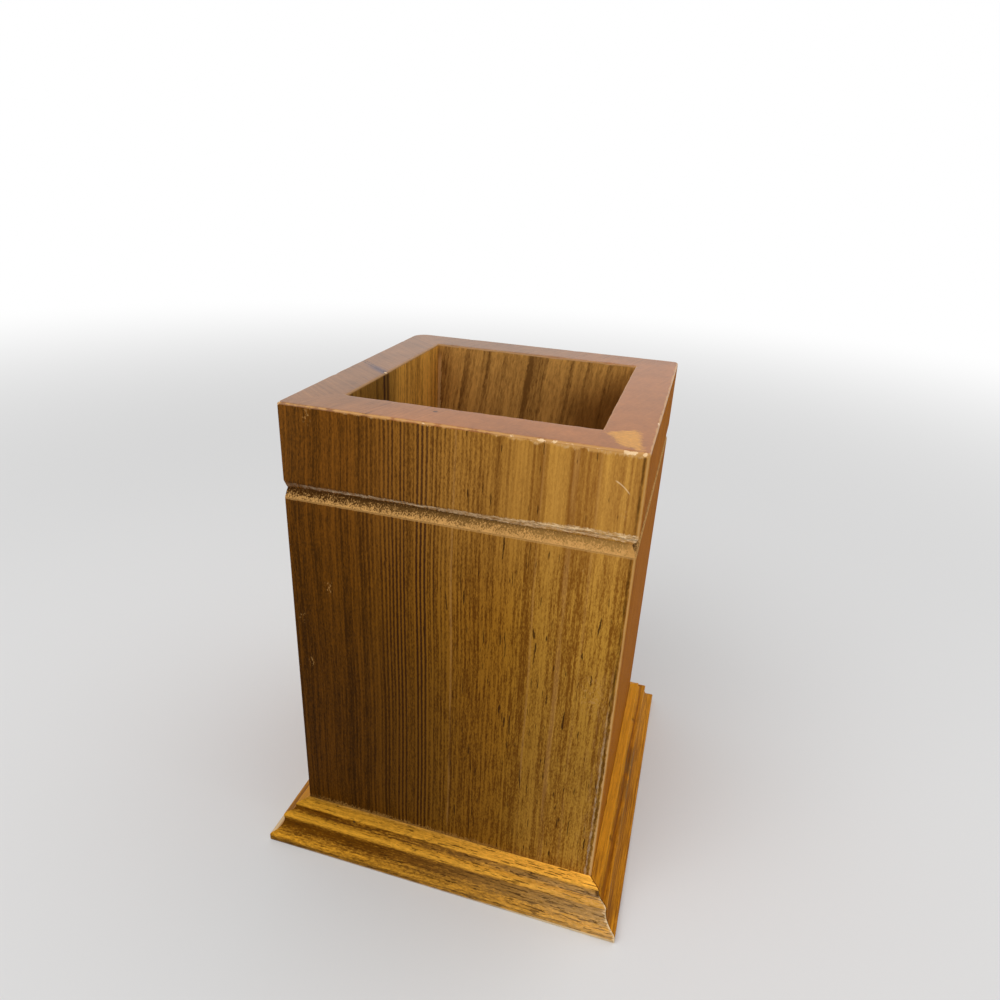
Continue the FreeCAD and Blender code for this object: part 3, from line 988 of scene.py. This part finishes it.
def rim_varnish(finish):
    """The rim: end grain under satin varnish, with a bared patch and a stained crack."""
    g = new_material("rim_varnished_end_grain")
    x, depth, z = g.local("front")
    y = depth - HALF_POST / MM
    plan = (x, z, y)
    cloud = g.noise(plan, (0.09, 0.1, 0.09), 4, 3, 0.6)
    grain = g.noise(plan, (0.9, 0.1, 1.4), 9, 3, 0.7)
    upright = x - 0.3 * y
    slanting = 0.62 * x + 0.78 * y
    on_left = g.ramp(1, -1, x + abs(y))
    ringwise = upright * (1 - on_left) + slanting * on_left
    rays = g.noise((ringwise, z, y), (1.3, 0.1, 0.06), 15, 3, 0.65)
    dark_rays = g.ramp(0.66, 0.74, g.noise((ringwise, z, y), (1.6, 0.1, 0.12), 19, 1))
    ruddy = x - 0.6 * y
    base = g.mix(g.ramp(-24, 27, ruddy), finish.rim_brown, finish.rim)
    tone = 1 + contrast(cloud, 0.8) + contrast(grain, 0.5)
    plain = g.ramp(24, 6, ruddy)
    tone = tone + contrast(rays, 0.9) * (0.3 + 0.7 * plain)
    base = g.scale(base, tone - 0.35 * (dark_rays * plain))

    # The bared patch: inside four slanting edges
    uneven = contrast(grain, 2.2) + contrast(cloud, 3)
    inside = 1
    for (x0, y0), (x1, y1) in zip(PATCH_CORNERS, PATCH_CORNERS[1:] + PATCH_CORNERS[:1]):
        edge = math.dist((x0, y0), (x1, y1))
        inward = (x - x0) * ((y1 - y0) / edge) - (y - y0) * ((x1 - x0) / edge) + uneven
        inside = inside * g.ramp(-0.5, 0.9, inward)
    patch = g.scale(finish.patch, 1 + contrast(grain, 0.9) + contrast(cloud, 0.8))
    base = g.mix(0.8 * inside, base, patch)

    # The crack across the left rim, stained, with a bluish margin
    (x0, y0), (x1, y1) = RIM_CRACK
    line = y - (y0 + (x - x0) * ((y1 - y0) / (x1 - x0))) + contrast(grain, 1.1)
    on_rim = g.ramp(-28, -29.5, x)
    halo = g.band(0, 0.5, 2, line + contrast(cloud, 3)) * g.ramp(-40, -32, x)
    base = g.mix(0.7 * (halo * on_rim), base, finish.stain)
    ragged = line + contrast(grain, 0.9)
    second = g.band(1.1, 0.05, 0.2, ragged) * g.ramp(-33, -35, x)
    dark = 0.85 * g.larger(g.band(0, 0.05, 0.22, ragged), second) * on_rim
    base = g.mix(dark, base, finish.pore)
    spot = ((x + 6.4) ** 2 + (y + 32.3) ** 2) ** 0.5
    base = g.mix(0.8 * g.ramp(0.75, 0.3, spot), base, finish.pore)

    from_middle = g.larger(abs(x), abs(y))
    outer = g.ramp(39.15, 39.8, from_middle)
    inner = g.ramp(29.6, 29, from_middle)
    base = g.mix(0.6 * inner, base, finish.lip)
    worn = g.ramp(0.3, 0.75, g.attribute("rim_wear") + contrast(grain, 1))
    base = g.mix(0.8 * (worn * outer), base, finish.bare)
    base = fresh_chips(g, finish, plan, base)
    height = grain - 3 * dark
    return g.surface(base, 0.4, height, 0.01, specular=0.05, coat=0.4, coat_roughness=0.15)


def moulding_wood(finish, side):
    """A foot moulding: long grain, dark in its coves and light on its crests, partly as painted shade and
    light, with open pores along it.

    The front one goes from gold and olive at its left to rubbed straw and grey at its right.
    The others are smooth amber bands; the right one is painted lighter towards its back end, and the left
    one carries a painted reflection towards its front end.
    """
    g = new_material(side + "_moulding_varnished_wood")
    point = x, depth, z = g.local(side)
    shift = 91 + 5 * SIDES.index(side)
    front = side == "front"
    slow = g.noise((z, depth, x), (0.05, 0.05, 0.03), shift, 1)
    rough = g.noise((z, depth, x), (1.2, 1.2, 0.6), shift)
    across = z + contrast(slow, 2) + contrast(rough, 0.7 if front else 0.25)
    grain = (across, depth, x)
    fringe = g.noise(grain, (2.2, 2.2, 0.8), shift, 4, 0.7)
    narrow = g.noise(grain, (2.2, 2.2, 0.09), shift, 3, 0.6)
    flecks = g.noise(grain, (3.4, 3.4, 0.7), shift + 3, 3, 0.7)
    relief = g.attribute("relief") + contrast(fringe, 1.9 if front else 0.7)
    relief = relief + contrast(narrow, 1 if front else 2.6)
    if front:
        riser = g.band(8.8, 0.4, 0.3, z) * g.stops(x, (-36, 0), (-18, 0.3), (4, 0.2), (20, 0.12))
        relief = relief + riser
    if side == "right":
        # Painted light towards the back end; the top near the front end is darker
        relief = relief + 0.5 * g.ramp(5, 40, x) - 0.8 * g.ramp(-22, -36, x) * g.ramp(9.4, 10.2, z)
    reach = 0.6 if front else 0.95
    # Crests take the light colour and coves the dark one: painted light and shade, and in the front coves
    # also grime and varnish
    crest = g.ramp(-reach, reach, relief)
    low, high = finish.rust, finish.amber
    if front:
        right = g.stops(x, (-40, 0), (-18, 0.14), (0, 0.4), (18, 0.72), (40, 1))
        low = g.mix(right ** 2.1, finish.olive, finish.drift)
        high = g.mix(right, finish.gold, finish.straw)
    base = g.mix(crest, low, high)
    tone = 1 + contrast(narrow, 1) + contrast(flecks, 1.5 if front else 0.4)
    base = g.scale(base, tone)
    pores = g.noise(grain, (3, 3, 0.22), shift + 7, 1)
    edge = g.stops(x, (-48, 0.7), (-10, 0.64), (20, 0.6), (48, 0.58)) if front else 0.76
    pore = g.ramp(edge, edge + 0.05, pores)
    base = g.mix(0.7 * pore, base, finish.pore)
    if side == "right":
        smudge = g.band(-3, 7, 14, x) * g.band(6.9, 0.7, 1.3, across)
        mottle = g.noise(grain, (0.7, 0.5, 0.3), 71, 3, 0.6)
        smudge = smudge * g.ramp(0.36, 0.52, mottle)
        base = g.mix(0.8 * smudge, base, g.scale(finish.drift, 0.36))
    if side == "left":
        # A painted reflection: the left moulding paler towards its front end and whitish along its foot
        pale = g.ramp(-6, 26, x)
        base = g.mix(pale, base, g.mix(0.25, g.scale(base, 0.75), finish.lip))
        base = g.mix(0.6 * (pale * g.ramp(3.4, 2.6, z)), base, finish.glue)
    if front:
        # Painted light and shade along the front moulding: the foot's nose and face, and the top, change in
        # brightness from end to end
        nose = g.stops(x, (-48, 1.25), (-30, 1.2), (-18, 1.05), (0, 0.84), (18, 0.92), (40, 1.08))
        base = g.mix(g.band(2.4, 0.6, 0.8, z), base, g.scale(base, nose))
        shaded = g.stops(x, (-48, 0.55), (-18, 0.64), (0, 0.86), (18, 0.78), (40, 1.12))
        base = g.mix(g.ramp(1.7, 1.2, z), base, g.scale(base, shaded))
        dull = g.ramp(10.3, 10.6, z + contrast(fringe, 0.6)) * g.ramp(12, -12, x)
        base = g.scale(base, 1 - 0.3 * dull)
        top = g.ramp(9.7, 10.1, z) * g.ramp(0, 40, x)
        base = g.scale(base, 1 + 0.3 * top)
        base = front_moulding_marks(g, finish, point, base, flecks)
    base = g.mix(0.55 * g.attribute("mark"), base, finish.pore)
    glue = g.ramp(0.5, 0.8, g.attribute("glue") + contrast(rough, 0.5))
    base = g.mix(glue, base, finish.glue)
    height = contrast(narrow, 1) + contrast(flecks, 1.4) - 1.6 * pore
    roughness, bump, specular = (0.5, 0.06, 0.03) if front else (0.4, 0.03, 0.06)
    return g.surface(base, roughness, height, bump, specular=specular)


def front_moulding_marks(g, finish, point, base, flecks):
    """Dust along the post's foot, a rubbed bottom arris, a whitish end at the open mitre, and painted shade
    where the upper step is torn beside it.
    """
    x, depth, z = point
    dust = g.ramp(-0.7, -0.1, depth) * g.ramp(0.4, 0.6, flecks)
    base = g.mix(0.3 * (dust * g.ramp(20, 0, x)), base, finish.lip)
    low = z + contrast(flecks, 0.4) - g.stops(x, (4, 0), (20, 0.2), (40, 0.4))
    foot = g.ramp(0.55, 0.35, low) * g.ramp(-50, -30, x)
    base = g.mix(0.75 * foot, base, g.mix(g.ramp(0, 36, x), finish.fibre, finish.glue))
    near = x + depth - HALF_POST / MM
    end = g.stops(near, (-24, 0), (-14, 0.35), (-6, 0.5), (0, 1)) * g.ramp(0.35, 0.55, flecks)
    end = end * g.ramp(9.6, 8, z)
    base = g.mix(0.52 * end, base, g.mix(0.45, finish.lip, finish.fibre))
    splinters = g.ramp(-0.9, -0.3, near + contrast(flecks, 2.4))
    splinters = splinters * g.band(5.2, 4, 0.5, z)
    base = g.mix(0.75 * splinters, base, finish.chip)
    # Painted shade where the upper step is torn away beside the mitre; the moulding's shape has no notch
    # there
    torn = g.ramp(-1.5, -0.9, near + contrast(flecks, 1.6)) * g.band(9, 0.5, 0.4, z)
    return g.mix(0.85 * torn, base, finish.umber)


def floor_wood(finish):
    """The floor of the well: thin matt varnish over plain grain that runs from side to side."""
    g = new_material("floor_board_matt_wood")
    x, depth, z = g.local("front")
    fine = g.noise((depth, z, x), (1.2, 1, 0.03), 41, 3, 0.6)
    broad = g.noise((depth, z, x), (0.2, 0.2, 0.01), 43)
    tone = g.clamp(0.45 + contrast(broad, 1.2) + contrast(fine, 1))
    base = g.mix(tone, finish.inner_dark, finish.inner_light)
    return g.surface(base, 0.6, fine, 0.05, specular=0.25)


def pin_steel(finish):
    """The panel pins: dull drawn steel."""
    g = new_material("pin_drawn_steel")
    drawn = g.noise(g.local("front"), (3, 3, 3), 51)
    base = g.mix(drawn, finish.steel, finish.umber)
    return g.surface(base, 0.45, drawn, 0.01, specular=0.5, metallic=1)


# ---------------------------------------------------------------- stage

# The camera's azimuth, elevation and roll in degrees, and its place and lens in millimetres
CAMERA_ANGLES = (15.1586, 24.4699, 2.9121)
CAMERA_PLACE = (46.4, -170.936, 172.777)
CAMERA_LENS = 25.9986
# Where both lamps face, and each one's place and size, in metres
LAMP_TARGET = (0, 0, 0.06)
KEY_LAMP = ((0.45, 0.25, 0.85), 0.9)
FILL_LAMP = ((-0.25, -0.6, 0.8), 0.8)
# The floor's reach in metres, its rings of points and the points in each
FLOOR_REACH, FLOOR_RINGS, FLOOR_SPOKES = 3, 30, 64
# Where the floor starts to fade into the background and where it is gone, in metres from the middle
FLOOR_FADE = (0.25, 0.9)


def facing(back, place, roll=0):
    """The frame of a camera or lamp at a place, with its back along the given line.

    Its level axis is square to both the vertical and its back, and the roll, in radians, turns
    it about its back.
    """
    back = np.array(back) / np.linalg.norm(back)
    level = np.cross([0, 0, 1], back)
    level /= np.linalg.norm(level)
    right = math.cos(roll) * level + math.sin(roll) * np.cross(back, level)
    axes = np.column_stack([right, np.cross(back, right), back, place])
    return Matrix([*axes.tolist(), [0, 0, 0, 1]])


def add_camera():
    """A camera that looks down the line given by its azimuth and elevation, rolled about it."""
    azimuth, elevation, roll = (math.radians(angle) for angle in CAMERA_ANGLES)
    flat = math.cos(elevation)
    back = (math.sin(azimuth) * flat, -math.cos(azimuth) * flat, math.sin(elevation))
    data = bpy.data.cameras.new("camera")
    data.lens = CAMERA_LENS
    data.clip_start = 0.01
    camera = link("camera", data)
    camera.matrix_world = facing(back, np.array(CAMERA_PLACE) * MM, roll)
    bpy.context.scene.camera = camera


def add_lamp(name, place, size, power):
    """A square area lamp that faces the stand."""
    data = bpy.data.lights.new(name, "AREA")
    data.size = size
    data.energy = power
    link(name, data).matrix_world = facing(np.array(place) - LAMP_TARGET, place)


def floor_material(tone):
    """The pale floor, which fades into the white background away from the object."""
    g = new_material("stage_floor")
    place = g.value("TexCoord", output="Object")
    far = g.ramp(*FLOOR_FADE, g.value("VectorMath", place, output="Value", operation="LENGTH"))
    pale = g.value("BsdfDiffuse", (tone, tone, tone))
    white = g.value("Emission", (1, 1, 1), 1)
    g.node("OutputMaterial", g.value("MixShader", far * g.seen(), pale, white))
    return g.owner


def world_light(strength):
    """Even light from all round, which the camera and reflections see as white."""
    g = Graph(bpy.data.worlds.new("studio"))
    level = g.value("MapRange", g.seen(), 0, 1, strength, 1)
    g.node("OutputWorld", g.value("Background", (1, 1, 1), level))
    bpy.context.scene.world = g.owner


def add_floor(tone):
    """A level disc under the object: rings of points at radius r and angle a."""
    radius = np.linspace(0, FLOOR_REACH, FLOOR_RINGS + 1)[1:, None]
    angle = np.linspace(0, 2 * math.pi, FLOOR_SPOKES, endpoint=False)[None, :]
    places = np.stack([radius * np.cos(angle), radius * np.sin(angle), 0 * radius * angle], -1)
    index = np.arange(FLOOR_RINGS * FLOOR_SPOKES).reshape(FLOOR_RINGS, FLOOR_SPOKES)
    turned = np.roll(index, -1, axis=1)
    quads = np.stack([index[:-1], index[1:], turned[1:], turned[:-1]], -1).reshape(-1, 4)
    mesh = bpy.data.meshes.new("stage_floor")
    mesh.from_pydata(places.reshape(-1, 3).tolist(), [], quads.tolist() + [index[0].tolist()])
    mesh.materials.append(floor_material(tone))
    link("stage_floor", mesh)


# ---------------------------------------------------------------- operators


class PENSTAND_OT_boards(bpy.types.Operator):
    """Build the four mitred boards of the post, with their groove, wear and varnish"""

    bl_idname = "penstand.boards"
    bl_label = "Build the boards"

    def execute(self, context):
        finish = context.scene.penstand_finish
        rim = rim_varnish(finish)
        for side in SIDES:
            face = front_wood(finish) if side == "front" else side_wood(finish, side)
            board = build_board(context.scene.penstand_boards, side, [face, rim, inside_wood(finish, side)])
            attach(board, "root")
            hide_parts(side + "_board")
        return {"FINISHED"}


class PENSTAND_OT_mouldings(bpy.types.Operator):
    """Build the four mitred mouldings of the foot"""

    bl_idname = "penstand.mouldings"
    bl_label = "Build the mouldings"

    def execute(self, context):
        for side in SIDES:
            wood = moulding_wood(context.scene.penstand_finish, side)
            moulding = build_moulding(context.scene.penstand_mouldings, side, [wood])
            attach(moulding, "root")
            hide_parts(side + "_moulding")
        return {"FINISHED"}


class PENSTAND_OT_small_parts(bpy.types.Operator):
    """Give the floor board and the panel pins their finishes"""

    bl_idname = "penstand.small_parts"
    bl_label = "Finish the floor and pins"

    def execute(self, context):
        finish = context.scene.penstand_finish
        for node, material in (("floor_board", floor_wood(finish)), ("moulding_pins", pin_steel(finish))):
            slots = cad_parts[node].data.materials
            slots.clear()
            slots.append(material)
        return {"FINISHED"}


class PENSTAND_OT_stage(bpy.types.Operator):
    """Set up the floor, the light and the camera"""

    bl_idname = "penstand.stage"
    bl_label = "Set the stage"

    def execute(self, context):
        settings = context.scene.penstand_stage
        context.scene.view_settings.view_transform = "Standard"
        add_camera()
        world_light(settings.world)
        add_floor(settings.floor)
        add_lamp("key_lamp", *KEY_LAMP, settings.key)
        add_lamp("fill_lamp", *FILL_LAMP, settings.fill)
        return {"FINISHED"}


class PENSTAND_PT_sidebar(bpy.types.Panel):
    """The pen stand's settings and build steps"""

    bl_label = "Pen Stand"
    bl_idname = "PENSTAND_PT_sidebar"
    bl_space_type = "VIEW_3D"
    bl_region_type = "UI"
    bl_category = "Pen Stand"

    def draw(self, context):
        for group in ("penstand_boards", "penstand_mouldings", "penstand_finish", "penstand_stage"):
            box = self.layout.box()
            settings = getattr(context.scene, group)
            for key in settings.__annotations__:
                box.prop(settings, key)
        for operator in BUILD_STEPS:
            self.layout.operator(operator.bl_idname)


BUILD_STEPS = (PENSTAND_OT_boards, PENSTAND_OT_mouldings, PENSTAND_OT_small_parts, PENSTAND_OT_stage)
GROUPS = {
    "penstand_boards": BoardSettings,
    "penstand_mouldings": MouldingSettings,
    "penstand_finish": FinishSettings,
    "penstand_stage": StageSettings,
}


def register():
    for group in GROUPS.values():
        bpy.utils.register_class(group)
    for key, group in GROUPS.items():
        setattr(bpy.types.Scene, key, PointerProperty(type=group))
    for operator in BUILD_STEPS:
        bpy.utils.register_class(operator)
    bpy.utils.register_class(PENSTAND_PT_sidebar)


def unregister():
    bpy.utils.unregister_class(PENSTAND_PT_sidebar)
    for operator in reversed(BUILD_STEPS):
        bpy.utils.unregister_class(operator)
    for key, group in GROUPS.items():
        delattr(bpy.types.Scene, key)
        bpy.utils.unregister_class(group)


def main():
    register()
    bpy.ops.penstand.boards()
    bpy.ops.penstand.mouldings()
    bpy.ops.penstand.small_parts()
    bpy.ops.penstand.stage()


if __name__ == "__main__":
    main()
